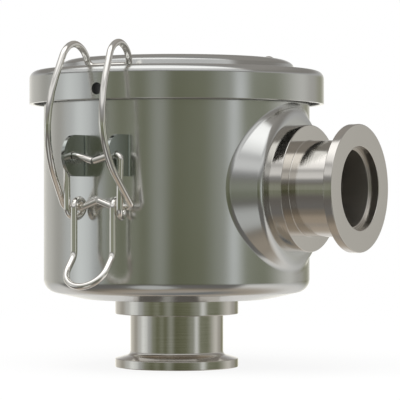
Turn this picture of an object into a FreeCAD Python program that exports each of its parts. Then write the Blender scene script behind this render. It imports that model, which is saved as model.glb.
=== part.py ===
import FreeCAD, Part
import math
import os

# Vacuum line filter: a pressed steel canister with a pleated cartridge inside, a pressed lid held by two wire
# latches, and two small clamp-flange ports. Millimetres. The origin is the centre of the outlet flange face,
# +Z is up, +X is the inlet axis, and the latches stand at -Y (front) and +Y (rear).

V = FreeCAD.Vector
ORIGIN = V(0, 0, 0)
Z_AXIS = V(0, 0, 1)

# Ports: one turned part, used twice
flange_r = 20.0
flange_rim = 2.8
flange_bevel_deg = 15.0
neck_r = 15.1
neck_end = 17.2
bore_r = 12.0
recess_r = 13.1
recess_depth = 3.0
weld_disc_r = 20.0
weld_disc_t = 5.0
spigot_wall = 1.5
spigot_play = 0.05
edge_break = 0.25
spigot_r = bore_r + spigot_wall
port_length = neck_end + weld_disc_t

# Canister: one drawn shell with a flattened boss for the inlet
canister_r = 43.1
canister_wall = 1.2
canister_height = 68.08
floor_flat_r = 30.3
floor_slope_deg = 12.7
floor_bend_r = 4.0
floor_corner_r = 4.25
floor_z = port_length
mouth_z = floor_z + canister_height
inlet_z = 57.65
pad_proud = 1.05
pad_x = canister_r + pad_proud
inlet_reach = pad_x + port_length
boss_r = 26.4
boss_pad_r = 22.8
boss_edge_r = 2.6
boss_overlap = 0.8

# Lid gasket: a U-section rubber ring pushed over the mouth
gasket_web = 1.5
gasket_leg_in = 1.5
gasket_leg_out = 2.8
gasket_drop_in = 3.4
gasket_drop_out = 4.3

# Lid: one pressing with a skirt, a rolled rim, a channel for the bails and a raised middle
lid_sheet = 1.3
skirt_play = 0.55
lid_r = canister_r + gasket_leg_out + skirt_play + lid_sheet
lid_channel_z = mouth_z + gasket_web + lid_sheet
channel_depth = 2.67
channel_in_r = canister_r - 4.0
channel_out_r = canister_r + 0.7
channel_bend_r = 0.5
rim_width = 3.3
rim_in_bend_r = 0.65
rim_out_bend_r = 2.6
rim_inside_bend_r = 0.45
lid_rim_z = lid_channel_z + channel_depth
skirt_height = 10.75
skirt_z = lid_rim_z - skirt_height
dome_rise = 3.6
dome_r = channel_in_r - 1.2
dome_bend_r = 0.9
dome_upright = 2.15
dome_flare_bend_r = 3.0
lid_top_z = lid_rim_z + dome_rise
vent_r = 1.85
vent_up = 3.3

# Latch ears: four plates welded to the canister wall
ear_gap = 14.8
ear_t = 1.1
ear_height = 12.8
ear_tip = 4.9
ear_fillet_r = 0.6
ear_fillet_lift = 0.15
pivot_out = 6.5
pivot_drop = 17.25
pivot_r = canister_r + pivot_out
pivot_z = skirt_z - pivot_drop

# Levers: one bent wire each, pivoted in the ears, with two eyes and a U-shaped finger end
lever_wire_r = 1.05
ear_play = 0.3
pivot_play = 0.3
pivot_hole_r = lever_wire_r + pivot_play
lever_arm = 16.25
eye_mean_r = 2.75
end_gap = 0.6
lever_end_slope_deg = 15.0
lever_end_bend_r = 1.5
handle_width = 14.1
handle_drop = 14.6
flare_out = 7.8
flare_down = 9.05
lever_bend_r = 1.6
handle_bend_r = 4.0
link_t = ear_gap / 2 + ear_t + ear_play + lever_wire_r
eye_r = pivot_r - eye_mean_r
eye_z = pivot_z - lever_arm
eye_turns = 8

# Bails: one bent wire each, hung in the lever's eyes and hooked into the channel of the lid
bail_wire_r = 1.05
bail_play = 0.5
bail_up_in_eye = 0.35
bail_end_slope_deg = 20.0
bail_end_bend_r = 1.5
bail_foot_bend_r = 1.6
bail_lean_deg = 38.0
bow_out = 12.1
bow_lower_bend_r = 25.0
bow_upper_bend_r = 34.0
bow_upper_z = skirt_z - 0.1
bow_lower_t = 10.2
bow_upper_t = 9.55
hook_height = 6.65
hook_out = 11.4
hook_in = 3.1
hook_bend_r = 6.6
hook_out_t = 8.25
hook_in_t = 7.95
crossbar_half = 7.5
crossbar_bend_r = 2.0
crossbar_step = 1.3
crossbar_lift = 1.4
crossbar_r = channel_in_r + crossbar_step
crossbar_z = lid_channel_z + bail_wire_r + crossbar_lift
bail_foot_t = link_t + lever_wire_r + bail_wire_r + bail_play

# Cartridge and what carries it
seat_height = 2.6
seat_r = 20.0
spigot_rise = 6.2
seal_wall = 3.0
seal_height = 4.2
cap_r = 30.8
cap_sheet = 0.8
cap_rim = 4.0
top_cap_z = 87.2
core_wall = 0.8
media_play = 0.05
media_gap = 0.4
core_r = spigot_r + spigot_play + seal_wall + cap_sheet + media_play + core_wall
core_hole_r = 1.6
core_holes_round = 12
core_holes_high = 7
pleat_count = 48
pleat_fold = 2.2
guard_wall = 0.7
guard_play = 0.3
guard_r = cap_r - cap_sheet - guard_play
pleat_in_r = core_r + media_gap
pleat_out_r = guard_r - guard_wall - media_gap
guard_slot_w = 4.4
guard_slot_h = 15.0
guard_slots_round = 16
guard_slots_high = 3
spring_width = 12.0
spring_t = 0.8
spring_half = 17.0
spring_foot = 5.0
spring_crown = 6.0


def bend_path(points, radii):
    """Edges of an open route: straight runs joined by tangent arcs, with a bend radius per inner point."""
    edges = []
    last = points[0]
    for before, corner, after, radius in zip(points, points[1:], points[2:], radii):
        back = (before - corner).normalize()
        ahead = (after - corner).normalize()
        half = back.getAngle(ahead) / 2
        if radius <= 0 or half > math.pi / 2 - 1e-6:
            edges.append(Part.LineSegment(last, corner).toShape())
            last = corner
            continue
        reach = radius / math.tan(half)
        start = corner + back * reach
        end = corner + ahead * reach
        middle = corner + (back + ahead).normalize() * (radius / math.sin(half) - radius)
        if (start - last).Length > 1e-4:
            edges.append(Part.LineSegment(last, start).toShape())
        edges.append(Part.Arc(start, middle, end).toShape())
        last = end
    edges.append(Part.LineSegment(last, points[-1]).toShape())
    return edges


def section_face(outline):
    """A flat face in the XZ plane from closed (r, z, bend radius) corners, starting on a straight side."""
    start = ((outline[0][0] + outline[-1][0]) / 2, (outline[0][1] + outline[-1][1]) / 2, 0)
    loop = [start] + list(outline) + [start]
    points = [V(r, 0, z) for r, z, bend in loop]
    radii = [bend for r, z, bend in loop[1:-1]]
    return Part.Face(Part.Wire(bend_path(points, radii)))


def turned(outline):
    """A solid turned about Z from closed (r, z, bend radius) corners."""
    return section_face(outline).revolve(ORIGIN, Z_AXIS, 360)


def offset_line(corners, distance):
    """The (r, z, bend radius) line moved sideways by a sheet thickness, to the right of its direction."""
    moved = []
    for i, (r, z, bend) in enumerate(corners):
        here = V(r, 0, z)
        sides = []
        turn = 0
        if i > 0:
            sides.append((here - V(corners[i - 1][0], 0, corners[i - 1][1])).normalize())
        if i < len(corners) - 1:
            sides.append((V(corners[i + 1][0], 0, corners[i + 1][1]) - here).normalize())
        normals = [V(side.z, 0, -side.x) for side in sides]
        push = normals[0] + normals[-1]
        if len(sides) == 2:
            turn = sides[0].z * sides[1].x - sides[0].x * sides[1].z
        push.normalize()
        place = here + push * (distance / push.dot(normals[0]))
        inner_bend = bend - distance if turn > 0 else bend + distance
        moved.append((place.x, place.z, max(inner_bend, 0.2) if bend else 0))
    return moved


def sheet_outline(corners, sheet):
    """Closed section of a pressed sheet: the outer line, then the line one thickness inside it."""
    return corners + offset_line(corners, sheet)[::-1]


def rod(points, radii, radius):
    """A round wire bent along a route."""
    path = Part.Wire(bend_path(points, radii))
    ring = Part.Wire(Part.makeCircle(radius, points[0], points[1] - points[0]))
    return path.makePipeShell([ring], True, False)


def cylinder(radius, height, base=ORIGIN, axis=Z_AXIS):
    """A plain cylinder."""
    return Part.makeCylinder(radius, height, base, axis)


def rear(shape):
    """The same piece on the other side of the canister."""
    copy = shape.copy()
    copy.rotate(ORIGIN, Z_AXIS, 180)
    return copy


def export(name, shape):
    """Writes one sub-part."""
    solid = shape.removeSplitter()
    if len(solid.Solids) == 1:
        solid = solid.Solids[0]
    solid.exportStep("parts/" + name + ".step")


# Ports


def port(spigot_length):
    """A clamp flange, neck, weld disc and spigot in one turned part. Its face is at z = 0, its axis up."""
    bevel_end = flange_rim + (flange_r - neck_r) * math.tan(math.radians(flange_bevel_deg))
    top = port_length + spigot_length
    return turned([
        (recess_r, 0, 0),
        (flange_r, 0, edge_break),
        (flange_r, flange_rim, edge_break),
        (neck_r, bevel_end, 1.0),
        (neck_r, neck_end, edge_break),
        (weld_disc_r, neck_end, edge_break),
        (weld_disc_r, port_length, 0),
        (spigot_r, port_length, 0),
        (spigot_r, top, edge_break),
        (bore_r, top, edge_break),
        (bore_r, recess_depth, edge_break),
        (recess_r, recess_depth, 0),
    ])


def outlet_port():
    """The bottom port, whose spigot stands up inside the canister and carries the cartridge."""
    return port(canister_wall + seat_height + spigot_rise)


def inlet_port():
    """The side port, whose spigot ends inside the wall."""
    shape = port(canister_wall + 0.8)
    shape.rotate(ORIGIN, V(0, 1, 0), -90)
    shape.translate(V(inlet_reach, 0, inlet_z))
    return shape


# Canister


def canister_line():
    """The outer line of the shell, from the middle of its floor to its mouth."""
    slope = math.tan(math.radians(floor_slope_deg))
    corner_z = floor_z + (canister_r - floor_flat_r) * slope
    return [
        (spigot_r + spigot_play, floor_z, 0),
        (floor_flat_r, floor_z, floor_bend_r),
        (canister_r, corner_z, floor_corner_r),
        (canister_r, mouth_z, 0),
    ]


def boss(inset):
    """The pressed boss as a solid block, with every face moved inwards by inset. Round the port axis its wall
    runs from the edge of the flat pad to the shell, so it is steep at the sides and shallow above and below."""
    directions = [2 * math.pi * i / 48 for i in range(48)]
    sections = []
    for angle in directions:
        shell_x = math.sqrt(canister_r ** 2 - (boss_r * math.sin(angle)) ** 2)
        tilt = math.atan2(pad_x - shell_x, boss_r - boss_pad_r)
        start_r = boss_pad_r - boss_edge_r * math.tan(tilt / 2)
        section = []
        for step in range(6):
            turn = tilt * step / 5
            outer_r = start_r + boss_edge_r * math.sin(turn)
            outer_x = pad_x - boss_edge_r * (1 - math.cos(turn))
            section.append((outer_r - inset * math.sin(turn), outer_x - inset * math.cos(turn)))
        foot_r = boss_r + boss_overlap * math.cos(tilt)
        foot_x = shell_x - boss_overlap * math.sin(tilt)
        section.append((foot_r - inset * math.sin(tilt), foot_x - inset * math.cos(tilt)))
        section.append((boss_r - inset, canister_r / 2))
        sections.append(section)
    rings = []
    for level in zip(*sections):
        points = [V(x, r * math.sin(a), inlet_z + r * math.cos(a)) for a, (r, x) in zip(directions, level)]
        curve = Part.BSplineCurve()
        curve.interpolate(points, PeriodicFlag=True)
        rings.append(Part.Wire(curve.toShape()))
    return Part.makeLoft(rings, True, True)


def canister():
    """The drawn shell: outside, less the inside, with the boss pressed out of both."""
    line = canister_line()
    inside = offset_line(line, -canister_wall)
    top = mouth_z
    over = top + canister_wall
    outer = turned([(0, floor_z, 0)] + line[1:] + [(0, top, 0)])
    hollow = turned([(0, inside[0][1], 0)] + inside[1:-1] + [(inside[-1][0], over, 0), (0, over, 0)])
    shell = outer.fuse(boss(0)).cut(hollow.fuse(boss(canister_wall)))
    hole_r = spigot_r + spigot_play
    depth = 4 * canister_wall
    shell = shell.cut(cylinder(hole_r, 2 * depth, V(pad_x - depth, 0, inlet_z), V(1, 0, 0)))
    return shell.cut(cylinder(hole_r, 2 * depth, V(0, 0, floor_z - depth)))


# Lid and gasket


def lid_line():
    """The top line of the pressing, from its middle to the lower edge of its skirt."""
    rim_in_r = lid_r - rim_width
    return [
        (0, lid_top_z, 0),
        (dome_r, lid_top_z, dome_bend_r),
        (dome_r, lid_top_z - dome_upright, dome_flare_bend_r),
        (channel_in_r, lid_channel_z, channel_bend_r),
        (channel_out_r, lid_channel_z, channel_bend_r),
        (rim_in_r, lid_rim_z, rim_in_bend_r),
        (lid_r, lid_rim_z, rim_out_bend_r),
        (lid_r, skirt_z, 0),
    ]


def lid():
    """The pressed lid. Its rim is narrow inside, and a small vent hole pierces its skirt at the front."""
    line = lid_line()
    inside = offset_line(line, lid_sheet)
    for i in (5, 6):
        inside[i] = (inside[i][0], inside[i][1], rim_inside_bend_r)
    shape = turned(line + inside[::-1])
    vent = cylinder(vent_r, lid_r, V(0, 0, skirt_z + vent_up), V(0, -1, 0))
    return shape.cut(vent)


def lid_gasket():
    """The rubber ring on the mouth. The lid's channel presses on it."""
    top = mouth_z + gasket_web
    inner = canister_r - canister_wall
    return turned([
        (inner - gasket_leg_in, top, 0.3),
        (canister_r + gasket_leg_out, top, 0.3),
        (canister_r + gasket_leg_out, mouth_z - gasket_drop_out, 0.4),
        (canister_r, mouth_z - gasket_drop_out, 0),
        (canister_r, mouth_z, 0),
        (inner, mouth_z, 0),
        (inner, mouth_z - gasket_drop_in, 0),
        (inner - gasket_leg_in, mouth_z - gasket_drop_in, 0.4),
    ])


# Latches: t runs along X and r is the distance in front of the axis, towards -Y


def place(t, r, z):
    """A point of the front latch."""
    return V(t, -r, z)


def ear(side):
    """One ear of the front latch, on the side of +X or -X, with its weld fillets."""
    near = ear_gap / 2
    far = near + ear_t
    toe_near = near - ear_fillet_r
    toe_far = far + ear_fillet_r
    low_near = math.sqrt(canister_r ** 2 - toe_near ** 2) + ear_fillet_lift
    low_far = math.sqrt(canister_r ** 2 - toe_far ** 2) + ear_fillet_lift
    inner_r = canister_r / 2
    tip_r = pivot_r + ear_tip
    corner = 1 - math.sqrt(0.5)
    near_arc = Part.Arc(
        place(near, low_near + ear_fillet_r, 0),
        place(near - ear_fillet_r * corner, low_near + ear_fillet_r * corner, 0),
        place(toe_near, low_near, 0),
    )
    far_arc = Part.Arc(
        place(toe_far, low_far, 0),
        place(far + ear_fillet_r * corner, low_far + ear_fillet_r * corner, 0),
        place(far, low_far + ear_fillet_r, 0),
    )
    straight = [
        (place(toe_near, low_near, 0), place(toe_near, inner_r, 0)),
        (place(toe_near, inner_r, 0), place(toe_far, inner_r, 0)),
        (place(toe_far, inner_r, 0), place(toe_far, low_far, 0)),
        (place(far, low_far + ear_fillet_r, 0), place(far, tip_r, 0)),
        (place(far, tip_r, 0), place(near, tip_r, 0)),
        (place(near, tip_r, 0), place(near, low_near + ear_fillet_r, 0)),
    ]
    edges = [near_arc.toShape(), far_arc.toShape()]
    edges += [Part.LineSegment(a, b).toShape() for a, b in straight]
    plan = Part.Face(Part.Wire(Part.__sortEdges__(edges)))
    low_z = pivot_z - ear_height / 2
    high_z = low_z + ear_height
    block = plan.extrude(V(0, 0, ear_height))
    block.translate(V(0, 0, low_z))
    round_r = ear_height / 2
    centre_r = tip_r - round_r
    side_t = 2 * far
    low_end = place(side_t, centre_r, low_z)
    high_end = place(side_t, centre_r, high_z)
    outline = Part.Wire([
        Part.LineSegment(place(side_t, 0, low_z), low_end).toShape(),
        Part.Arc(low_end, place(side_t, tip_r, pivot_z), high_end).toShape(),
        Part.LineSegment(high_end, place(side_t, 0, high_z)).toShape(),
        Part.LineSegment(place(side_t, 0, high_z), place(side_t, 0, low_z)).toShape(),
    ])
    block = block.common(Part.Face(outline).extrude(V(-side_t, 0, 0)))
    block = block.cut(cylinder(canister_r, ear_height, V(0, 0, low_z)))
    block = block.cut(cylinder(pivot_hole_r, far * 2, place(0, pivot_r, pivot_z), V(1, 0, 0)))
    if side < 0:
        block = block.mirror(ORIGIN, V(1, 0, 0))
    return block


def mirrored_route(half, radii):
    """A whole wire from half of it. The points run from one end to the middle, and the rest mirrors them."""
    other = [V(-p.x, p.y, p.z) for p in half[::-1]]
    return half + other, radii + radii[::-1]


def lever():
    """The front lever: pivot ends in the ears, links outside them, an eye each side, and the finger end."""
    slope = math.tan(math.radians(lever_end_slope_deg))
    ear_in = ear_gap / 2 - ear_t + ear_play
    handle_t = handle_width / 2
    half = [place(end_gap / 2, pivot_r, pivot_z - (ear_in - end_gap / 2) * slope)]
    half.append(place(ear_in, pivot_r, pivot_z))
    half.append(place(link_t, pivot_r, pivot_z))
    radii = [lever_end_bend_r, lever_bend_r]
    corner_r = eye_mean_r / math.cos(math.pi / eye_turns)
    for i in range(eye_turns):
        angle = -2 * math.pi * (i + 0.5) / eye_turns
        t = link_t + (handle_t - link_t) * min(1, (2 * i + 1) / eye_turns)
        half.append(place(t, eye_r + corner_r * math.cos(angle), eye_z + corner_r * math.sin(angle)))
        radii.append(eye_mean_r - 0.05)
    straight_z = eye_z - handle_drop
    half.append(place(handle_t, pivot_r, straight_z))
    radii.append(handle_bend_r)
    half.append(place(handle_t, pivot_r + flare_out, straight_z - flare_down))
    radii.append(handle_t - 0.01)
    points, bends = mirrored_route(half, radii)
    return rod(points, bends, lever_wire_r)


def bail():
    """The front bail: ends through the eyes, two bowed arms, and a hook over the rim into the channel."""
    slope = math.tan(math.radians(bail_end_slope_deg))
    inner_t = handle_width / 2 - lever_wire_r - end_gap / 2
    lean = math.tan(math.radians(bail_lean_deg))
    bow_r = lid_r + bow_out
    foot_z = eye_z + bail_up_in_eye
    lower_z = foot_z + (bow_r - eye_r) / lean
    hook_z = crossbar_z + hook_height
    half = [
        place(end_gap / 2, eye_r, foot_z + (inner_t - end_gap / 2) * slope),
        place(inner_t, eye_r, foot_z),
        place(bail_foot_t, eye_r, foot_z),
        place(bow_lower_t, bow_r, lower_z),
        place(bow_upper_t, bow_r, bow_upper_z),
        place(hook_out_t, crossbar_r + hook_out, hook_z),
        place(hook_in_t, crossbar_r + hook_in, hook_z),
        place(crossbar_half, crossbar_r, crossbar_z),
    ]
    radii = [bail_end_bend_r, bail_foot_bend_r, bow_lower_bend_r, bow_upper_bend_r]
    radii += [hook_bend_r, hook_bend_r, crossbar_bend_r]
    points, bends = mirrored_route(half, radii)
    return rod(points, bends, bail_wire_r)


# Cartridge


floor_top = floor_z + canister_wall
seat_top = floor_top + seat_height
cap_hole_r = spigot_r + spigot_play + seal_wall
core_low = seat_top + cap_sheet


def element_seat():
    """A turned ring round the spigot, welded to the floor. The cartridge stands on it."""
    return turned([
        (spigot_r + spigot_play, floor_top, 0),
        (seat_r, floor_top, 0),
        (seat_r, seat_top, 0.4),
        (spigot_r + spigot_play, seat_top, 0),
    ])


def bottom_seal():
    """A rubber grommet in the bottom cap, which seals on the spigot."""
    return turned([
        (spigot_r + spigot_play, seat_top, 0),
        (cap_hole_r, seat_top, 0),
        (cap_hole_r, seat_top + seal_height, 0.5),
        (spigot_r + spigot_play, seat_top + seal_height, 0.8),
    ])


def bottom_cap():
    """A pressed end cap with a raised rim and a collar round the grommet."""
    return turned([
        (cap_hole_r, seat_top, 0.2),
        (cap_r, seat_top, cap_sheet),
        (cap_r, seat_top + cap_rim, 0.2),
        (cap_r - cap_sheet, seat_top + cap_rim, 0.2),
        (cap_r - cap_sheet, core_low, 0),
        (core_r - core_wall - media_play, core_low, 0),
        (core_r - core_wall - media_play, seat_top + seal_height, 0.2),
        (cap_hole_r, seat_top + seal_height, 0),
    ])


def top_cap():
    """The closed end cap, with a rim that turns down over the pleats."""
    return turned([
        (0, top_cap_z, 0),
        (cap_r - cap_sheet, top_cap_z, 0),
        (cap_r - cap_sheet, top_cap_z + cap_sheet - cap_rim, 0.2),
        (cap_r, top_cap_z + cap_sheet - cap_rim, 0.2),
        (cap_r, top_cap_z + cap_sheet, cap_sheet),
        (0, top_cap_z + cap_sheet, 0),
    ])


def core_tube():
    """The perforated inner tube that the pleats rest on."""
    height = top_cap_z - core_low
    tube = cylinder(core_r, height, V(0, 0, core_low)).cut(cylinder(core_r - core_wall, height, V(0, 0, core_low)))
    row_gap = height / (core_holes_high + 1)
    holes = []
    for row in range(core_holes_high):
        for i in range(core_holes_round):
            angle = 2 * math.pi * (i + 0.5 * (row % 2)) / core_holes_round
            base = V(0, 0, core_low + row_gap * (row + 1))
            holes.append(cylinder(core_hole_r, 2 * core_r, base, V(math.cos(angle), math.sin(angle), 0)))
    return tube.cut(holes)


def pleat_ring(out_r, in_r, z):
    """One zigzag line round the cartridge."""
    points = []
    for i in range(2 * pleat_count):
        angle = math.pi * i / pleat_count
        radius = in_r if i % 2 else out_r
        points.append(V(radius * math.cos(angle), radius * math.sin(angle), z))
    return Part.makePolygon(points + [points[0]])


def pleated_media():
    """The folded filter paper, as one zigzag wall."""
    low = core_low
    outer = pleat_ring(pleat_out_r, pleat_in_r + pleat_fold, low)
    inner = pleat_ring(pleat_out_r - pleat_fold, pleat_in_r, low)
    height = V(0, 0, top_cap_z - low)
    return Part.Face(outer).extrude(height).cut(Part.Face(inner).extrude(height))


def outer_guard():
    """The slotted sleeve outside the pleats."""
    height = top_cap_z - core_low
    inner_r = guard_r - guard_wall
    sleeve = cylinder(guard_r, height, V(0, 0, core_low)).cut(cylinder(inner_r, height, V(0, 0, core_low)))
    bridge = (height - 2 * cap_rim - guard_slots_high * guard_slot_h) / (guard_slots_high + 1)
    slots = []
    for row in range(guard_slots_high):
        low = core_low + cap_rim + bridge + row * (guard_slot_h + bridge)
        for i in range(guard_slots_round):
            slot = Part.makeBox(guard_r, guard_slot_w, guard_slot_h, V(guard_r / 2, -guard_slot_w / 2, low))
            slot.rotate(ORIGIN, Z_AXIS, 360 * i / guard_slots_round)
            slots.append(slot)
    return sleeve.cut(slots)


def hold_down_spring():
    """A bowed leaf spring, spot-welded under the lid, whose feet press on the top cap."""
    low = top_cap_z + cap_sheet
    high = lid_top_z - lid_sheet
    line = [
        (-spring_half, low + spring_t, 0),
        (-spring_half + spring_foot, low + spring_t, 1.5),
        (-spring_crown, high, 3.0),
        (spring_crown, high, 3.0),
        (spring_half - spring_foot, low + spring_t, 1.5),
        (spring_half, low + spring_t, 0),
    ]
    face = section_face(sheet_outline(line, spring_t))
    face.translate(V(0, -spring_width / 2, 0))
    return face.extrude(V(0, spring_width, 0))


def build():
    """Makes every sub-part and writes it."""
    os.makedirs("parts", exist_ok=True)
    export("canister", canister())
    export("lid", lid())
    export("lid_gasket", lid_gasket())
    export("inlet_port", inlet_port())
    export("outlet_port", outlet_port())
    for side, word in ((-1, "left"), (1, "right")):
        plate = ear(side)
        export("front_ear_" + word, plate)
        export("rear_ear_" + word, rear(plate))
    latch = (("lever", lever()), ("bail", bail()))
    for word, shape in latch:
        export("front_" + word, shape)
        export("rear_" + word, rear(shape))
    export("element_seat", element_seat())
    export("bottom_seal", bottom_seal())
    export("bottom_cap", bottom_cap())
    export("top_cap", top_cap())
    export("core_tube", core_tube())
    export("pleated_media", pleated_media())
    export("outer_guard", outer_guard())
    export("hold_down_spring", hold_down_spring())


build()
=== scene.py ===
import bpy
import bmesh
import math
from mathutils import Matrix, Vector


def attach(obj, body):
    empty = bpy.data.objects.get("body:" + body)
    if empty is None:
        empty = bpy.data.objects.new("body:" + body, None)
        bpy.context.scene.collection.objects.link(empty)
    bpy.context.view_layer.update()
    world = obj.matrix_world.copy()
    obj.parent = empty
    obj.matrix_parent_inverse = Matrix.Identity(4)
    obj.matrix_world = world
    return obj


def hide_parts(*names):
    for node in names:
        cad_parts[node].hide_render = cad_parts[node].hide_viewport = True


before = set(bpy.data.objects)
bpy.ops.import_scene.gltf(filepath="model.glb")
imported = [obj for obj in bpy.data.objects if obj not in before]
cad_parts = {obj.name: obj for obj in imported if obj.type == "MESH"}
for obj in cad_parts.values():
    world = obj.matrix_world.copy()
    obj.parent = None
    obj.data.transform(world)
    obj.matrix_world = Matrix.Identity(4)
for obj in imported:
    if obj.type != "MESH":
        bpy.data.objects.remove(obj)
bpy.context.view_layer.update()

MM = 0.001
RIGHT_ANGLE = math.pi / 2

# Camera. It stands at eye level with the middle of the canister, turned from the front latch towards the
# inlet, with a long lens.
camera_turn = math.radians(30.4)
camera_away = 724 * MM
camera_aside = 7.54 * MM
camera_height = 54.07 * MM
camera_lens = 200.5
film_width = 36
bpy.ops.object.camera_add(
    location=(
        camera_away * math.sin(camera_turn) + camera_aside * math.cos(camera_turn),
        -camera_away * math.cos(camera_turn) + camera_aside * math.sin(camera_turn),
        camera_height,
    ),
    rotation=(RIGHT_ANGLE, 0, camera_turn),
)
camera = bpy.context.object
camera.data.sensor_width = film_width
camera.data.lens = camera_lens
bpy.context.scene.camera = camera

# Studio. The walls are a soft ring of light and dark panels, which the polished steel mirrors as upright
# bands. Angles are degrees round from the camera, positive to the right; levels are the panel's brightness.
panels = [
    (-180, 1.00), (-142, 0.60), (-121, 0.44), (-104, 0.60), (-91, 0.82), (-80, 0.72), (-73, 0.50),
    (-57, 0.29), (-48, 0.21), (-36, 0.28), (-28, 0.20), (-14, 0.36), (-1, 0.18), (20, 0.21),
    (41, 0.36), (50, 0.70), (63, 0.28), (79, 0.26), (114, 0.62), (131, 0.45), (150, 0.32), (180, 1.00),
]
wall_red = 0.97
dim_level = 0.45  # panels darker than this turn greenish: they lose this much red and blue
dim_red, dim_blue = 0.03, 0.55
behind_from, behind_to = 100, 120  # between these angles the panels turn warmer: more red and less blue
behind_red, behind_blue = 0.05, 0.06
world = bpy.context.scene.world or bpy.data.worlds.new("studio")
bpy.context.scene.world = world
world.use_nodes = True
nodes = world.node_tree.nodes
links = world.node_tree.links
nodes.clear()


def light_ramp(stops):
    """A ramp of (position, colour) stops."""
    ramp = nodes.new("ShaderNodeValToRGB")
    ramp.color_ramp.interpolation = "EASE"
    while len(ramp.color_ramp.elements) < len(stops):
        ramp.color_ramp.elements.new(0.5)
    for element, (position, color) in zip(ramp.color_ramp.elements, stops):
        element.position = position
        element.color = (*color, 1)
    return ramp


def smooth_step(source, low, high):
    """A value that runs smoothly from 0 to 1 as the source runs from low to high."""
    step = nodes.new("ShaderNodeMapRange")
    step.interpolation_type = "SMOOTHSTEP"
    step.inputs["From Min"].default_value = low
    step.inputs["From Max"].default_value = high
    links.new(source, step.inputs["Value"])
    return step.outputs["Result"]


def blend(factor, first, second):
    """One colour that fades into another."""
    mix = nodes.new("ShaderNodeMix")
    mix.data_type = "RGBA"
    links.new(factor, mix.inputs["Factor"])
    links.new(first, mix.inputs["A"])
    links.new(second, mix.inputs["B"])
    return mix.outputs["Result"]


direction = nodes.new("ShaderNodeTexCoord")
turn = nodes.new("ShaderNodeMapping")
turn.vector_type = "POINT"
turn.inputs["Rotation"].default_value = (0, 0, RIGHT_ANGLE - camera_turn)
around = nodes.new("ShaderNodeTexGradient")
around.gradient_type = "RADIAL"
wall_stops = []
for angle, level in panels:
    dark = max(0, 1 - level / dim_level)
    warm = min(1, max(0, (abs(angle) - behind_from) / (behind_to - behind_from)))
    red = level * (wall_red - dim_red * dark + behind_red * warm)
    blue = level * (1 - dim_blue * dark - behind_blue * warm)
    wall_stops.append((0.5 + angle / 360, (red, level, blue)))
walls = light_ramp(wall_stops)
links.new(direction.outputs["Generated"], turn.inputs["Vector"])
links.new(turn.outputs["Vector"], around.inputs["Vector"])
links.new(around.outputs["Fac"], walls.inputs["Fac"])

# Above and below the walls the studio changes with height: (degrees up, brightness, warmth) on the camera's
# side, with a bright soft box over the table, and on the far side. The walls blend into it by the sine of the
# height. Just under eye level the panels stand out more, where the outlet port mirrors them.
near_side = [
    (-90, 0.34, 0.1), (-72, 0.40, 0.2), (-60, 0.34, 0.3), (-50, 0.21, 0.25), (-38, 0.17, 0.05),
    (-18, 0.15, 0.1), (8, 0.17, 0.1), (16, 0.28, 0), (24, 0.80, 0), (30, 0.76, 0), (37, 0.56, 0),
    (46, 1.10, 0), (58, 1.45, 0), (90, 1.25, 0),
]
far_side = [
    (-90, 0.20, -0.1), (-55, 0.40, 0.25), (-29, 0.78, 0.05), (-8, 0.60, 0), (10, 0.50, 0), (22, 0.27, 0.1),
    (55, 0.33, 0.1), (90, 0.34, 0),
]
side_red, side_blue = 0.54, 0.62  # what a warmth of 1 adds to the red and takes from the blue
sides_meet = (-0.12, 0.06)
walls_end_above = (0.05, 0.25)
walls_end_below = (-0.08, -0.34)
contrast_below = (-0.042, -0.058)
low_contrast = 1.4
low_lift = 1.25
split = nodes.new("ShaderNodeSeparateXYZ")
links.new(direction.outputs["Generated"], split.inputs["Vector"])
upward = split.outputs["Z"]
height = nodes.new("ShaderNodeMapRange")
height.inputs["From Min"].default_value = -1
links.new(upward, height.inputs["Value"])
sides = []
for levels in (far_side, near_side):
    side_stops = []
    for angle, level, warm in levels:
        color = (level * (1 + side_red * warm), level, level * (1 - side_blue * warm))
        side_stops.append((0.5 + 0.5 * math.sin(math.radians(angle)), color))
    side = light_ramp(side_stops)
    links.new(height.outputs["Result"], side.inputs["Fac"])
    sides.append(side.outputs["Color"])
facing = nodes.new("ShaderNodeVectorMath")
facing.operation = "DOT_PRODUCT"
facing.inputs[1].default_value = (0, -1, 0)
links.new(direction.outputs["Generated"], facing.inputs[0])
slanted = blend(smooth_step(facing.outputs["Value"], *sides_meet), sides[0], sides[1])
steep = nodes.new("ShaderNodeMath")
steep.operation = "MAXIMUM"
links.new(smooth_step(upward, *walls_end_above), steep.inputs[0])
links.new(smooth_step(upward, *walls_end_below), steep.inputs[1])
deepen = nodes.new("ShaderNodeGamma")
deepen.inputs["Gamma"].default_value = low_contrast
links.new(walls.outputs["Color"], deepen.inputs["Color"])
lift = nodes.new("ShaderNodeVectorMath")
lift.operation = "SCALE"
lift.inputs["Scale"].default_value = low_lift
links.new(deepen.outputs["Color"], lift.inputs[0])
low_walls = blend(smooth_step(upward, *contrast_below), walls.outputs["Color"], lift.outputs["Vector"])
color = blend(steep.outputs["Value"], low_walls, slanted)

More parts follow.
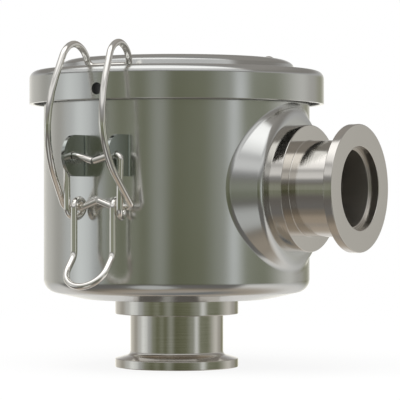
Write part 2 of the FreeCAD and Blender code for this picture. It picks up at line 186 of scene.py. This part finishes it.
# A small soft panel stands low in front, to the left of the camera. Its edge is given as the cosine of the
# angle from its middle. The camera itself sees plain white behind the part.
low_panel_turn = math.radians(7)
low_panel_up = math.radians(-38)
low_panel_edge = (0.93, 0.985)
low_panel_grey = (0.56, 0.57, 0.56, 1)
light_bounces = 24
towards_panel = nodes.new("ShaderNodeVectorMath")
towards_panel.operation = "DOT_PRODUCT"
towards_panel.inputs[1].default_value = (
    math.cos(low_panel_up) * math.sin(low_panel_turn),
    -math.cos(low_panel_up) * math.cos(low_panel_turn),
    math.sin(low_panel_up),
)
links.new(direction.outputs["Generated"], towards_panel.inputs[0])
low_panel = nodes.new("ShaderNodeRGB")
low_panel.outputs["Color"].default_value = low_panel_grey
color = blend(smooth_step(towards_panel.outputs["Value"], *low_panel_edge), color, low_panel.outputs["Color"])
path = nodes.new("ShaderNodeLightPath")
seen = nodes.new("ShaderNodeMix")
seen.data_type = "RGBA"
seen.inputs["B"].default_value = (1, 1, 1, 1)
glow = nodes.new("ShaderNodeBackground")
output = nodes.new("ShaderNodeOutputWorld")
links.new(color, seen.inputs["A"])
links.new(path.outputs["Is Camera Ray"], seen.inputs["Factor"])
links.new(seen.outputs["Result"], glow.inputs["Color"])
links.new(glow.outputs["Background"], output.inputs["Surface"])
bpy.context.scene.view_settings.view_transform = "Standard"
bpy.context.scene.cycles.max_bounces = light_bounces
bpy.context.scene.cycles.glossy_bounces = light_bounces

# Floor. A pale table top, lit from above. The camera sees it almost white, with the filter's soft shadow. The
# steel mirrors the studio's walls instead, as it does above a small table.
floor_r = 6
floor_drop = 0.02 * MM
floor_grey = (0.86, 0.86, 0.85, 1)
floor_white_share = 0.9
floor_fade = (0.12, 0.35)


def floor_material(name):
    """Pale matte paint. The camera sees most of it as plain white, and all of it farther away."""
    material = bpy.data.materials.new(name)
    material.use_nodes = True
    tree = material.node_tree
    tree.nodes.clear()
    paint = tree.nodes.new("ShaderNodeBsdfDiffuse")
    paint.inputs["Color"].default_value = floor_grey
    white = tree.nodes.new("ShaderNodeEmission")
    ray = tree.nodes.new("ShaderNodeLightPath")
    place = tree.nodes.new("ShaderNodeTexCoord")
    away = tree.nodes.new("ShaderNodeVectorMath")
    away.operation = "LENGTH"
    fade = tree.nodes.new("ShaderNodeMapRange")
    fade.interpolation_type = "SMOOTHSTEP"
    fade.inputs["From Min"].default_value = floor_fade[0]
    fade.inputs["From Max"].default_value = floor_fade[1]
    fade.inputs["To Min"].default_value = floor_white_share
    share = tree.nodes.new("ShaderNodeMath")
    share.operation = "MULTIPLY"
    cover = tree.nodes.new("ShaderNodeMixShader")
    end = tree.nodes.new("ShaderNodeOutputMaterial")
    tree.links.new(place.outputs["Object"], away.inputs[0])
    tree.links.new(away.outputs["Value"], fade.inputs["Value"])
    tree.links.new(ray.outputs["Is Camera Ray"], share.inputs[0])
    tree.links.new(fade.outputs["Result"], share.inputs[1])
    tree.links.new(share.outputs["Value"], cover.inputs["Fac"])
    tree.links.new(paint.outputs["BSDF"], cover.inputs[1])
    tree.links.new(white.outputs["Emission"], cover.inputs[2])
    tree.links.new(cover.outputs["Shader"], end.inputs["Surface"])
    return material


bpy.ops.mesh.primitive_circle_add(vertices=96, radius=floor_r, fill_type="NGON", location=(0, 0, -floor_drop))
floor = bpy.context.object
floor.name = "floor"
floor.data.materials.append(floor_material("floor_paint"))
floor.visible_glossy = False

# Lamps. One wide soft box overhead and a weaker one from the left, both aimed at the middle of the part.
lamp_aim = Vector((0, 0, 0.05))
for name, place, size, watts in (
    ("top_box", (0.1, -0.2, 0.9), 0.9, 7.0),
    ("left_box", (-0.7, -0.5, 0.35), 0.35, 2.0),
):
    bpy.ops.object.light_add(type="AREA", location=place)
    lamp = bpy.context.object
    lamp.name = name
    lamp.data.size = size
    lamp.data.energy = watts
    lamp.visible_glossy = False
    lamp.rotation_euler = (lamp_aim - Vector(place)).to_track_quat("-Z", "Y").to_euler()

# Canister. One drawn steel shell, polished outside, with a shallow cone under its floor and a boss pressed
# out of its side that gives the inlet port a flat seat.
canister_r = 43.1
canister_wall = 1.2
floor_z = 22.2
mouth_z = 90.28
spigot_hole_r = 13.6
cone_flat_r = 30.3
cone_rise = 2.885
wall_inside_foot = 0.96
cone_inside_step = 0.13
wall_opening_r = 18
inlet_z = 57.65
pad_x = 44.15
boss_pad_r = 22.8
boss_r = 26.4
boss_foot_r = boss_r + 2.4
boss_foot_sink = 0.04
boss_foot_bend = 1.0
boss_pad_bend = 1.75
boss_corners = 224
boss_smooth_angle = 60
bend_segments = 8
turning_steps = 256
smooth_angle = 40
merge_gap = 0.003
patch_scale = 45
patch_low, patch_high = 0.3, 0.7
patch_tint = 0.04
patch_gloss = 0.15
grain_depth = 0.02


def polish(name, color, roughness, flow, grain):
    """Steel: uneven gloss from large soft patches, and fine grain that is drawn out along flow."""
    material = bpy.data.materials.new(name)
    material.use_nodes = True
    tree = material.node_tree
    shader = tree.nodes["Principled BSDF"]
    shader.inputs["Metallic"].default_value = 1
    place = tree.nodes.new("ShaderNodeTexCoord")
    cloud = tree.nodes.new("ShaderNodeTexNoise")
    cloud.inputs["Scale"].default_value = patch_scale
    cloud.inputs["Detail"].default_value = 3
    tint = tree.nodes.new("ShaderNodeMix")
    tint.data_type = "RGBA"
    tint.inputs["A"].default_value = (*[c * (1 - patch_tint) for c in color], 1)
    tint.inputs["B"].default_value = (*[c * (1 + patch_tint) for c in color], 1)
    gloss = tree.nodes.new("ShaderNodeMapRange")
    gloss.inputs["From Min"].default_value = patch_low
    gloss.inputs["From Max"].default_value = patch_high
    gloss.inputs["To Min"].default_value = roughness * (1 - patch_gloss)
    gloss.inputs["To Max"].default_value = roughness * (1 + patch_gloss)
    stretch = tree.nodes.new("ShaderNodeMapping")
    stretch.inputs["Scale"].default_value = flow
    lines = tree.nodes.new("ShaderNodeTexNoise")
    lines.inputs["Scale"].default_value = 1
    lines.inputs["Detail"].default_value = 4
    bump = tree.nodes.new("ShaderNodeBump")
    bump.inputs["Strength"].default_value = grain
    bump.inputs["Distance"].default_value = grain_depth * MM
    tree.links.new(place.outputs["Object"], cloud.inputs["Vector"])
    tree.links.new(cloud.outputs["Fac"], tint.inputs["Factor"])
    tree.links.new(tint.outputs["Result"], shader.inputs["Base Color"])
    tree.links.new(cloud.outputs["Fac"], gloss.inputs["Value"])
    tree.links.new(gloss.outputs["Result"], shader.inputs["Roughness"])
    tree.links.new(place.outputs["Object"], stretch.inputs["Vector"])
    tree.links.new(stretch.outputs["Vector"], lines.inputs["Vector"])
    tree.links.new(lines.outputs["Fac"], bump.inputs["Height"])
    tree.links.new(bump.outputs["Normal"], shader.inputs["Normal"])
    return material


def select_vertices(piece, test):
    """Selects the vertices of the piece in edit mode that pass the test."""
    mesh = bmesh.from_edit_mesh(piece.data)
    bpy.ops.mesh.select_all(action="DESELECT")
    for vertex in mesh.verts:
        vertex.select = test(vertex.co)
    mesh.select_flush(True)
    bmesh.update_edit_mesh(piece.data)


def line_of(points, closed):
    """A new piece in edit mode: a chain of edges through the points, made from a circle's corners."""
    bpy.ops.object.select_all(action="DESELECT")
    bpy.ops.mesh.primitive_circle_add(vertices=len(points), radius=10 * MM)
    piece = bpy.context.object
    for vertex, point in zip(piece.data.vertices, points):
        vertex.co = Vector(point) * MM
    bpy.ops.object.mode_set(mode="EDIT")
    bpy.ops.mesh.select_mode(type="VERT")
    if not closed:
        bpy.ops.mesh.select_all(action="DESELECT")
        mesh = bmesh.from_edit_mesh(piece.data)
        ends = (mesh.verts[:][0], mesh.verts[:][-1])
        for edge in mesh.edges:
            edge.select = set(edge.verts) == set(ends)
        bpy.ops.mesh.delete(type="EDGE")
    return piece


def round_corner(piece, point, reach, segments):
    """Rounds one corner of a line; the curve starts reach before the corner."""
    corner = Vector(point) * MM
    select_vertices(piece, lambda co: (co - corner).length < 0.002 * MM)
    bpy.ops.mesh.bevel(offset=reach * MM, segments=segments, affect="VERTICES", clamp_overlap=False)


def finish_piece(piece, name, angle=smooth_angle):
    """Leaves edit mode, names the piece, puts its origin in place and smooths its faces."""
    bpy.ops.object.mode_set(mode="OBJECT")
    piece.name = name
    piece.data.name = name
    bpy.ops.object.transform_apply(location=True, rotation=True, scale=True)
    bpy.ops.object.shade_smooth_by_angle(angle=math.radians(angle))


def even_shading(piece):
    """Lets the large faces set the shading, so that flat walls mirror flat up to their rounded edges."""
    weigh = piece.modifiers.new("shading", "WEIGHTED_NORMAL")
    weigh.keep_sharp = True
    bpy.ops.object.modifier_apply(modifier="shading")


def turned(name, outline, steps, closed=True):
    """Turns a closed outline of (radius, height, corner reach) about the upright axis, as on a lathe."""
    points = [(r, 0, z) for r, z, reach in outline]
    piece = line_of(points, closed)
    for point, (r, z, reach) in zip(points, outline):
        if reach:
            segments = max(3, min(10, round(reach * 6)))
            round_corner(piece, point, reach, segments)
    bpy.ops.mesh.select_all(action="SELECT")
    bpy.ops.mesh.spin(steps=steps, angle=2 * math.pi, center=(0, 0, 0), axis=(0, 0, 1))
    bpy.ops.mesh.select_all(action="SELECT")
    bpy.ops.mesh.remove_doubles(threshold=merge_gap * MM)
    bpy.ops.mesh.normals_make_consistent(inside=False)
    finish_piece(piece, name)
    return piece


def drill(piece, radius, depth, place, rotation, vertices):
    """Cuts a round hole with a boolean."""
    bpy.ops.mesh.primitive_cylinder_add(
        vertices=vertices,
        radius=radius * MM,
        depth=depth * MM,
        location=Vector(place) * MM,
        rotation=rotation,
    )
    tool = bpy.context.object
    bpy.ops.object.select_all(action="DESELECT")
    piece.select_set(True)
    bpy.context.view_layer.objects.active = piece
    cut = piece.modifiers.new("hole", "BOOLEAN")
    cut.object = tool
    cut.solver = "EXACT"
    bpy.ops.object.modifier_apply(modifier="hole")
    bpy.data.objects.remove(tool)
    bpy.ops.object.shade_smooth_by_angle(angle=math.radians(smooth_angle))


shell = turned("canister_shell", [
    (spigot_hole_r, floor_z, 0),
    (cone_flat_r, floor_z, 0.5),
    (canister_r, floor_z + cone_rise, 3.4),
    (canister_r, mouth_z, 0.15),
    (canister_r - canister_wall, mouth_z, 0.15),
    (canister_r - canister_wall, floor_z + cone_rise + wall_inside_foot, 2.4),
    (cone_flat_r - cone_inside_step, floor_z + canister_wall, 1.0),
    (spigot_hole_r, floor_z + canister_wall, 0),
], steps=turning_steps)
drill(shell, wall_opening_r, 20, (canister_r, 0, inlet_z), (0, RIGHT_ANGLE, 0), 64)
even_shading(shell)

# The boss. A ring of corners round the inlet's hole is drawn out to the pad's edge, down to the canister's
# wall and a little into it.
bpy.ops.object.select_all(action="DESELECT")
bpy.ops.mesh.primitive_circle_add(
    vertices=boss_corners,
    radius=spigot_hole_r * MM,
    location=(pad_x * MM, 0, inlet_z * MM),
    rotation=(0, RIGHT_ANGLE, 0),
)
boss = bpy.context.object
bpy.ops.object.transform_apply(location=True, rotation=True, scale=True)
bpy.ops.object.mode_set(mode="EDIT")
bpy.ops.mesh.select_mode(type="VERT")
for reach, sink in ((boss_pad_r, None), (boss_r, 0), (boss_foot_r, boss_foot_sink)):
    bpy.ops.mesh.extrude_region_move()
    mesh = bmesh.from_edit_mesh(boss.data)
    for vertex in (v for v in mesh.verts if v.select):
        out = Vector((0, vertex.co.y, vertex.co.z - inlet_z * MM)).normalized() * reach * MM
        x = pad_x * MM
        if sink is not None:
            x = math.sqrt(((canister_r - sink) * MM) ** 2 - out.y ** 2)
        vertex.co = (x, out.y, out.z + inlet_z * MM)
    bmesh.update_edit_mesh(boss.data)


def select_ring(piece, radius):
    """Selects the edges of the boss that run round the port's axis at that radius."""
    mesh = bmesh.from_edit_mesh(piece.data)
    bpy.ops.mesh.select_all(action="DESELECT")
    bpy.ops.mesh.select_mode(type="EDGE")
    for edge in mesh.edges:
        apart = [abs(math.hypot(v.co.y, v.co.z - inlet_z * MM) - radius * MM) for v in edge.verts]
        edge.select = max(apart) < 0.01 * MM
    bmesh.update_edit_mesh(piece.data)


for ring_r, bend in ((boss_r, boss_foot_bend), (boss_pad_r, boss_pad_bend)):
    select_ring(boss, ring_r)
    bpy.ops.mesh.bevel(offset=bend * MM, segments=bend_segments, affect="EDGES", clamp_overlap=False)
bpy.ops.mesh.select_all(action="SELECT")
bpy.ops.mesh.normals_make_consistent(inside=False)
finish_piece(boss, "canister_boss", boss_smooth_angle)
thick = boss.modifiers.new("sheet", "SOLIDIFY")
thick.thickness = canister_wall * MM
thick.offset = -1
bpy.ops.object.modifier_apply(modifier="sheet")
even_shading(boss)
drawn_grey = (0.66, 0.665, 0.65)
drawn_flow = (900, 900, 60)
canister_steel = polish("canister_steel", drawn_grey, 0.18, drawn_flow, grain=0.03)
for piece in (shell, boss):
    piece.data.materials.append(canister_steel)
    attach(piece, "housing")
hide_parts("canister")

# Lid. One pressing of the same steel: a skirt that hangs over the mouth, a rolled rim, a channel for the
# bails and a raised middle with a round shoulder. A vent hole is drilled through the skirt.
lid_r = 47.75
lid_sheet = 1.3
skirt_z = 85.0
rim_z = 95.75
channel_z = 93.08
crown_z = 99.35
crown_r = 36.4
shoulder_r, shoulder_z = 37.75, 97.7
channel_in_r = 39.1
channel_out_r = 43.8
rim_in_r = 44.45
crown_inside_r = 35.7
shoulder_inside_r, shoulder_inside_z = 36.6, 97.0
channel_inside_in_r = 38.12
channel_inside_out_r = 44.82
rim_inside_r = 45.47
vent_r = 1.85
vent_z = 88.3
lid = turned("lid_shell", [
    (0, crown_z, 0),
    (crown_r, crown_z, 2.6),
    (shoulder_r, shoulder_z, 3.0),
    (channel_in_r, channel_z, 0.4),
    (channel_out_r, channel_z, 0.4),
    (rim_in_r, rim_z, 0.5),
    (lid_r, rim_z, 2.6),
    (lid_r, skirt_z, 0.3),
    (lid_r - lid_sheet, skirt_z, 0.3),
    (lid_r - lid_sheet, rim_z - lid_sheet, 0.45),
    (rim_inside_r, rim_z - lid_sheet, 0.35),
    (channel_inside_out_r, channel_z - lid_sheet, 1.2),
    (channel_inside_in_r, channel_z - lid_sheet, 1.0),
    (shoulder_inside_r, shoulder_inside_z, 1.0),
    (crown_inside_r, crown_z - lid_sheet, 1.3),
    (0, crown_z - lid_sheet, 0),
], steps=turning_steps, closed=False)
drill(lid, vent_r, 10, (0, -lid_r, vent_z), (RIGHT_ANGLE, 0, 0), 48)
even_shading(lid)
lid.data.materials.append(polish("lid_steel", drawn_grey, 0.16, drawn_flow, grain=0.03))
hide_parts("lid")
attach(lid, "housing")

# Lid gasket. A black rubber ring of U section, moulded in one piece and pushed over the canister's mouth. The
# lid's channel presses on it.
rubber_level = 0.042
rubber_roughness = 0.6
bloom_lift = 1.8
bloom_scale = 160
bloom_relief = 0.2
bloom_depth = 0.03


def rubber(name):
    """Matte black rubber with a faint bloom."""
    material = bpy.data.materials.new(name)
    material.use_nodes = True
    tree = material.node_tree
    shader = tree.nodes["Principled BSDF"]
    place = tree.nodes.new("ShaderNodeTexCoord")
    bloom = tree.nodes.new("ShaderNodeTexNoise")
    bloom.inputs["Scale"].default_value = bloom_scale
    bloom.inputs["Detail"].default_value = 4
    tint = tree.nodes.new("ShaderNodeMix")
    tint.data_type = "RGBA"
    for socket, level in (("A", rubber_level), ("B", rubber_level * bloom_lift)):
        tint.inputs[socket].default_value = (level, level, level, 1)
    shader.inputs["Roughness"].default_value = rubber_roughness
    bump = tree.nodes.new("ShaderNodeBump")
    bump.inputs["Strength"].default_value = bloom_relief
    bump.inputs["Distance"].default_value = bloom_depth * MM
    tree.links.new(place.outputs["Object"], bloom.inputs["Vector"])
    tree.links.new(bloom.outputs["Fac"], tint.inputs["Factor"])
    tree.links.new(tint.outputs["Result"], shader.inputs["Base Color"])
    tree.links.new(bloom.outputs["Fac"], bump.inputs["Height"])
    tree.links.new(bump.outputs["Normal"], shader.inputs["Normal"])
    return material


def dress(node, material):
    """Gives a CAD node its material."""
    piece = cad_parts[node]
    piece.data.materials.clear()
    piece.data.materials.append(material)


gasket_rubber = rubber("gasket_rubber")
dress("lid_gasket", gasket_rubber)

# Ports. Two alike, turned from bar and welded on: a clamp flange with a bevelled back and a recess in its
# face, a neck, and a thick weld disc. A spigot reaches into the canister, a longer one at the outlet.
flange_r = 20.0
flange_rim = 2.8
flange_back = 4.15
neck_r = 15.1
disc_z = 17.2
port_length = 22.2
spigot_r = 13.5
bore_r = 12.0
recess_r = 13.1
recess_depth = 3.0
inlet_x = 66.35
rough_from_r = 13.2
rough_full_r = 13.0
bore_grain = 0.9
bore_dullness = 0.32


def port(name, spigot):
    """A port with its face at height 0 and its axis upright."""
    piece = turned(name, [
        (recess_r, 0, 0.2),
        (flange_r, 0, 0.25),
        (flange_r, flange_rim, 0.2),
        (neck_r, flange_back, 1.1),
        (neck_r, disc_z, 0.2),
        (flange_r, disc_z, 0.25),
        (flange_r, port_length, 0),
        (spigot_r, port_length, 0),
        (spigot_r, port_length + spigot, 0.2),
        (bore_r, port_length + spigot, 0.2),
        (bore_r, recess_depth, 0.25),
        (recess_r, recess_depth, 0.1),
    ], steps=160)
    even_shading(piece)
    return piece


outlet = port("outlet_turned", 10.0)
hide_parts("outlet_port")
inlet = port("inlet_turned", 2.0)
inlet.rotation_euler = (0, -RIGHT_ANGLE, 0)
inlet.location = (inlet_x * MM, 0, inlet_z * MM)
bpy.ops.object.transform_apply(location=True, rotation=True, scale=True)
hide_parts("inlet_port")


def leave_bore_rough(material, centre, across):
    """Leaves the bore as it came off the tool: duller than the outside, with deep turning lines."""
    tree = material.node_tree
    shader = tree.nodes["Principled BSDF"]
    bump = shader.inputs["Normal"].links[0].from_node
    gloss = shader.inputs["Roughness"].links[0].from_node
    place = tree.nodes.new("ShaderNodeTexCoord")
    from_centre = tree.nodes.new("ShaderNodeVectorMath")
    from_centre.operation = "SUBTRACT"
    from_centre.inputs[1].default_value = centre
    sideways = tree.nodes.new("ShaderNodeVectorMath")
    sideways.operation = "MULTIPLY"
    sideways.inputs[1].default_value = across
    radius = tree.nodes.new("ShaderNodeVectorMath")
    radius.operation = "LENGTH"
    lines = tree.nodes.new("ShaderNodeMapRange")
    dull = tree.nodes.new("ShaderNodeMapRange")
    for change in (lines, dull):
        change.inputs["From Min"].default_value = rough_from_r * MM
        change.inputs["From Max"].default_value = rough_full_r * MM
    lines.inputs["To Min"].default_value = bump.inputs["Strength"].default_value
    lines.inputs["To Max"].default_value = bore_grain
    dull.inputs["To Max"].default_value = bore_dullness
    total = tree.nodes.new("ShaderNodeMath")
    total.operation = "ADD"
    tree.links.new(place.outputs["Object"], from_centre.inputs[0])
    tree.links.new(from_centre.outputs["Vector"], sideways.inputs[0])
    tree.links.new(sideways.outputs["Vector"], radius.inputs[0])
    tree.links.new(radius.outputs["Value"], lines.inputs["Value"])
    tree.links.new(radius.outputs["Value"], dull.inputs["Value"])
    tree.links.new(lines.outputs["Result"], bump.inputs["Strength"])
    tree.links.new(gloss.outputs["Result"], total.inputs[0])
    tree.links.new(dull.outputs["Result"], total.inputs[1])
    tree.links.new(total.outputs["Value"], shader.inputs["Roughness"])


for piece, flow, centre, across in (
    (outlet, (40, 40, 4000), (0, 0, 0), (1, 1, 0)),
    (inlet, (4000, 40, 40), (0, 0, inlet_z * MM), (0, 1, 1)),
):
    port_steel = polish(piece.name + "_steel", (0.69, 0.665, 0.625), 0.1, flow, grain=0.7)
    leave_bore_rough(port_steel, centre, across)
    piece.data.materials.append(port_steel)
    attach(piece, "housing")

# Latch ears. Four plates pressed from sheet with a round end, welded to the canister in pairs. The weld
# leaves a small fillet on both faces.
ear_near = 7.4
ear_far = 8.5
ear_tip = 54.5
ear_low = 61.35
ear_high = 74.15
ear_hole_r = 1.35
ear_edge = 0.12
ear_end_flat = 0.01
ear_root_r = 30
ear_outline_depth = 20
near_foot_r = 42.71
far_foot_r = 42.28
weld_root_r = 41.95
weld_leg = 0.6
weld_reach = 0.59
pivot_r = 49.6
pivot_z = 67.75
ear_steel = polish("ear_steel", (0.44, 0.47, 0.45), 0.16, (500, 60, 500), grain=0.02)


def turn_to_rear(piece):
    """Turns a finished front piece half round the canister."""
    piece.rotation_euler = (0, 0, math.pi)
    bpy.ops.object.select_all(action="DESELECT")
    piece.select_set(True)
    bpy.context.view_layer.objects.active = piece
    bpy.ops.object.transform_apply(location=True, rotation=True, scale=True)


def ear(name, side):
    """One ear at the front latch, on the side of +X or -X."""
    plan = [
        (ear_near - weld_leg, near_foot_r, 0),
        (ear_near, near_foot_r, weld_reach),
        (ear_near, ear_tip, 0),
        (ear_far, ear_tip, 0),
        (ear_far, far_foot_r, weld_reach),
        (ear_far + weld_leg, far_foot_r, 0),
        (ear_far + weld_leg, weld_root_r, 0),
        (ear_near - weld_leg, weld_root_r, 0),
    ]
    points = [(t * side, -r, ear_low) for t, r, reach in plan]
    piece = line_of(points, True)
    for point, (t, r, reach) in zip(points, plan):
        if reach:
            round_corner(piece, point, reach, 6)
    bpy.ops.mesh.select_all(action="SELECT")
    bpy.ops.mesh.edge_face_add()
    height = (ear_high - ear_low) * MM
    bpy.ops.mesh.extrude_region_move(TRANSFORM_OT_translate={"value": (0, 0, height)})
    bpy.ops.mesh.select_all(action="SELECT")
    bpy.ops.mesh.normals_make_consistent(inside=False)
    finish_piece(piece, name)
    corners = [
        (0, -ear_root_r, ear_low),
        (0, -ear_tip, ear_low),
        (0, -ear_tip, ear_high),
        (0, -ear_root_r, ear_high),
    ]
    tool = line_of(corners, True)
    for corner in corners[1:3]:
        round_corner(tool, corner, (ear_high - ear_low) / 2 - ear_end_flat, 16)
    bpy.ops.mesh.select_all(action="SELECT")
    bpy.ops.mesh.edge_face_add()
    depth = ear_outline_depth * side * MM
    bpy.ops.mesh.extrude_region_move(TRANSFORM_OT_translate={"value": (depth, 0, 0)})
    bpy.ops.mesh.select_all(action="SELECT")
    bpy.ops.mesh.normals_make_consistent(inside=False)
    finish_piece(tool, "ear_outline")
    bpy.ops.object.select_all(action="DESELECT")
    piece.select_set(True)
    bpy.context.view_layer.objects.active = piece
    trim = piece.modifiers.new("trim", "BOOLEAN")
    trim.operation = "INTERSECT"
    trim.object = tool
    bpy.ops.object.modifier_apply(modifier="trim")
    bpy.data.objects.remove(tool)
    drill(piece, ear_hole_r, 40, (0, -pivot_r, pivot_z), (0, RIGHT_ANGLE, 0), 32)
    edge = piece.modifiers.new("edge", "BEVEL")
    edge.width = ear_edge * MM
    edge.segments = 2
    edge.limit_method = "ANGLE"
    edge.angle_limit = math.radians(50)
    bpy.ops.object.modifier_apply(modifier="edge")
    bpy.ops.object.shade_smooth_by_angle(angle=math.radians(smooth_angle))
    even_shading(piece)
    return piece


for side, word in ((-1, "left"), (1, "right")):
    for end in ("front", "rear"):
        piece = ear(end + "_ear_plate_" + word, side)
        if end == "rear":
            turn_to_rear(piece)
        piece.data.materials.append(ear_steel)
        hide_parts(end + "_ear_" + word)
        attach(piece, "housing")

# Levers. One steel wire each: the ends turn in the ears, a link runs down outside each ear to an eye coiled
# in the wire, and a U below it bends outwards for the finger.
wire_steel = polish("wire_steel", (0.88, 0.86, 0.82), 0.06, (300, 300, 300), grain=0.02)
wire_r = 1.05
wire_end_t = 0.3
wire_smooth_angle = 50
bend_step = 7.5
eye_r = 46.85
eye_z = 51.5
eye_mean_r = 2.75
eye_bend = 2.7
eye_turns = 8
link_t = 9.85
handle_t = 7.05
between_ears_t = 6.6
lever_end_z = 66.06
finger_top_z = 36.9
finger_tip_r = 57.4
finger_tip_z = 27.85


def bent_wire(name, half):
    """A round wire along half a route of (aside, out, height, bend radius), and its mirror image."""
    route = half + [(-t, r, z, bend) for t, r, z, bend in half[::-1]]
    points = [Vector((t, -r, z)) for t, r, z, bend in route]
    piece = line_of(points, False)
    for i in range(1, len(route) - 1):
        back = (points[i - 1] - points[i]).normalized()
        ahead = (points[i + 1] - points[i]).normalized()
        half_angle = back.angle(ahead) / 2
        bend = route[i][3]
        turn = math.pi - 2 * half_angle
        if bend and turn > 0.02:
            segments = max(3, round(math.degrees(turn) / bend_step))
            round_corner(piece, points[i], bend / math.tan(half_angle), segments)
    bpy.ops.mesh.select_all(action="SELECT")
    bpy.ops.mesh.remove_doubles(threshold=0.01 * MM)
    bpy.ops.object.mode_set(mode="OBJECT")
    bpy.ops.object.convert(target="CURVE")
    piece = bpy.context.object
    piece.data.dimensions = "3D"
    piece.data.bevel_depth = wire_r * MM
    piece.data.bevel_resolution = 8
    piece.data.use_fill_caps = True
    bpy.ops.object.convert(target="MESH")
    piece = bpy.context.object
    bpy.ops.object.mode_set(mode="EDIT")
    bpy.ops.mesh.select_all(action="SELECT")
    bpy.ops.mesh.remove_doubles(threshold=merge_gap * MM)
    bpy.ops.mesh.normals_make_consistent(inside=False)
    finish_piece(piece, name, wire_smooth_angle)
    return piece


lever_ends = [
    (wire_end_t, pivot_r, lever_end_z, 0),
    (between_ears_t, pivot_r, pivot_z, 1.5),
    (link_t, pivot_r, pivot_z, 1.6),
]
lever_eye = []
for i in range(eye_turns):
    angle = -2 * math.pi * (i + 0.5) / eye_turns
    corner_r = eye_mean_r / math.cos(math.pi / eye_turns)
    t = link_t + (handle_t - link_t) * min(1, (2 * i + 1) / eye_turns)
    lever_eye.append((t, eye_r + corner_r * math.cos(angle), eye_z + corner_r * math.sin(angle), eye_bend))
lever_finger = [(handle_t, pivot_r, finger_top_z, 4.0), (handle_t, finger_tip_r, finger_tip_z, 7.04)]

# Bails. One steel wire each: the ends hang in the lever's eyes, the arms bow outwards, and the top hooks over
# the rim into the lid's channel.
bail_eye_z = 51.85
bail_end_z = 53.82
inside_eyes_t = 5.7
outside_eyes_t = 12.45
bow_r = 59.85
bow_low_t, bow_low_z = 10.2, 68.49
bow_high_t, bow_high_z = 9.55, 84.9
hook_z = 102.18
hook_out_t, hook_out_r = 8.25, 51.8
hook_in_t, hook_in_r = 7.95, 43.5
crossbar_t, crossbar_r, crossbar_z = 7.5, 40.4, 95.53
bail_route = [
    (wire_end_t, eye_r, bail_end_z, 0),
    (inside_eyes_t, eye_r, bail_eye_z, 1.5),
    (outside_eyes_t, eye_r, bail_eye_z, 1.6),
    (bow_low_t, bow_r, bow_low_z, 25),
    (bow_high_t, bow_r, bow_high_z, 34),
    (hook_out_t, hook_out_r, hook_z, 6.6),
    (hook_in_t, hook_in_r, hook_z, 6.6),
    (crossbar_t, crossbar_r, crossbar_z, 2.0),
]
for end in ("front", "rear"):
    lever = bent_wire(end + "_lever_wire", lever_ends + lever_eye + lever_finger)
    bail = bent_wire(end + "_bail_wire", bail_route)
    for piece, body in ((lever, end + "_lever"), (bail, end + "_bail")):
        if end == "rear":
            turn_to_rear(piece)
        piece.data.materials.append(wire_steel)
        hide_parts(body)
        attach(piece, body)

# Cartridge and what holds it, hidden inside: a turned seat, a rubber grommet, plated end caps, a perforated
# core, folded paper, a slotted guard and a leaf spring.
plated = polish("plated_sheet", (0.62, 0.62, 0.58), 0.3, (200, 200, 200), grain=0.1)
for node in ("bottom_cap", "top_cap", "core_tube", "outer_guard", "hold_down_spring"):
    dress(node, plated)
dress("element_seat", polish("seat_steel", (0.62, 0.61, 0.58), 0.25, (60, 60, 2000), grain=0.1))
dress("bottom_seal", gasket_rubber)

# The cartridge's paper. Cream filter paper, pleated and glued into the end caps, with a fibrous surface.
paper_low = (0.62, 0.52, 0.34, 1)
paper_high = (0.78, 0.70, 0.50, 1)
paper_roughness = 0.85
fibre_scale = 700
fibre_relief = 0.4
fibre_depth = 0.05
paper = bpy.data.materials.new("filter_paper")
paper.use_nodes = True
tree = paper.node_tree
shader = tree.nodes["Principled BSDF"]
shader.inputs["Roughness"].default_value = paper_roughness
place = tree.nodes.new("ShaderNodeTexCoord")
fibre = tree.nodes.new("ShaderNodeTexNoise")
fibre.inputs["Scale"].default_value = fibre_scale
fibre.inputs["Detail"].default_value = 5
tint = tree.nodes.new("ShaderNodeMix")
tint.data_type = "RGBA"
tint.inputs["A"].default_value = paper_low
tint.inputs["B"].default_value = paper_high
bump = tree.nodes.new("ShaderNodeBump")
bump.inputs["Strength"].default_value = fibre_relief
bump.inputs["Distance"].default_value = fibre_depth * MM
tree.links.new(place.outputs["Object"], fibre.inputs["Vector"])
tree.links.new(fibre.outputs["Fac"], tint.inputs["Factor"])
tree.links.new(tint.outputs["Result"], shader.inputs["Base Color"])
tree.links.new(fibre.outputs["Fac"], bump.inputs["Height"])
tree.links.new(bump.outputs["Normal"], shader.inputs["Normal"])
dress("pleated_media", paper)
